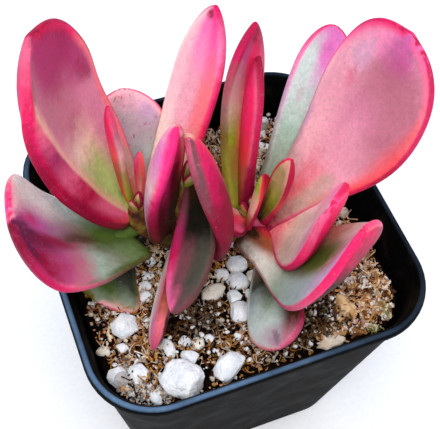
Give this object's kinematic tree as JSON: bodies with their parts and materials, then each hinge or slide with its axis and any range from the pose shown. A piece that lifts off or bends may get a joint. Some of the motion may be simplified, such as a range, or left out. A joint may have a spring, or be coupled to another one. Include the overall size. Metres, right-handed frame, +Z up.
{
  "type": "potted succulent",
  "caption": "Thick spoon-shaped leaves with pink margins in three low crowns on a forked stem, in a small square tapered pot of gritty mix with pumice stones.",
  "frame": {"origin": "middle of the pot's flat underside, on the surface it stands on", "axes": "+Z up, -Y the pot's front side, +X to the right of it"},
  "size_m": [0.0838, 0.076, 0.1177],
  "materials": {
    "pot": "satin black moulded plastic",
    "soil": "rough fibrous coir, bark and grit",
    "stem": "fleshy green-brown stem",
    "leaf": "waxy fleshy leaf, pink to magenta margins and grey-green foot",
    "pumice": "rough crushed white pumice",
    "tan_stone": "rough tan stone"
  },
  "bodies": {
    "root": {"leaf_centre_back": "leaf", "leaf_centre_front": "leaf", "leaf_centre_left": "leaf", "leaf_centre_low": "leaf", "leaf_centre_right": "leaf", "leaf_left_back": "leaf", "leaf_left_bud": "leaf", "leaf_left_inner": "leaf", "leaf_left_low": "leaf", "leaf_left_tall": "leaf", "leaf_left_wide": "leaf", "leaf_right_back": "leaf", "leaf_right_behind": "leaf", "leaf_right_bud_far": "leaf", "leaf_right_bud_near": "leaf", "leaf_right_edge": "leaf", "leaf_right_elbow": "leaf", "leaf_right_low": "leaf", "leaf_right_paddle": "leaf", "leaf_right_spoon": "leaf", "leaf_right_stub": "leaf", "pot": "pot", "soil": "soil", "stem": "stem", "stone_back_round": "pumice", "stone_big": "pumice", "stone_by_lip": "pumice", "stone_corner": "pumice", "stone_cream": "pumice", "stone_crown": "pumice", "stone_front": "pumice", "stone_inner_high": "pumice", "stone_inner_low": "pumice", "stone_inner_top": "pumice", "stone_left_edge": "pumice", "stone_left_gap": "pumice", "stone_left_inner": "pumice", "stone_left_near": "pumice", "stone_long": "pumice", "stone_low_mid": "pumice", "stone_low_right": "pumice", "stone_mid": "pumice", "stone_mid_left": "pumice", "stone_pale_tan": "tan_stone", "stone_row_left": "pumice", "stone_row_mid": "pumice", "stone_row_right": "pumice", "stone_shaded": "pumice", "stone_soft": "pumice", "stone_spotted": "pumice", "stone_tail": "pumice", "stone_tan": "tan_stone", "stone_upright": "pumice"}
  },
  "joints": []
}
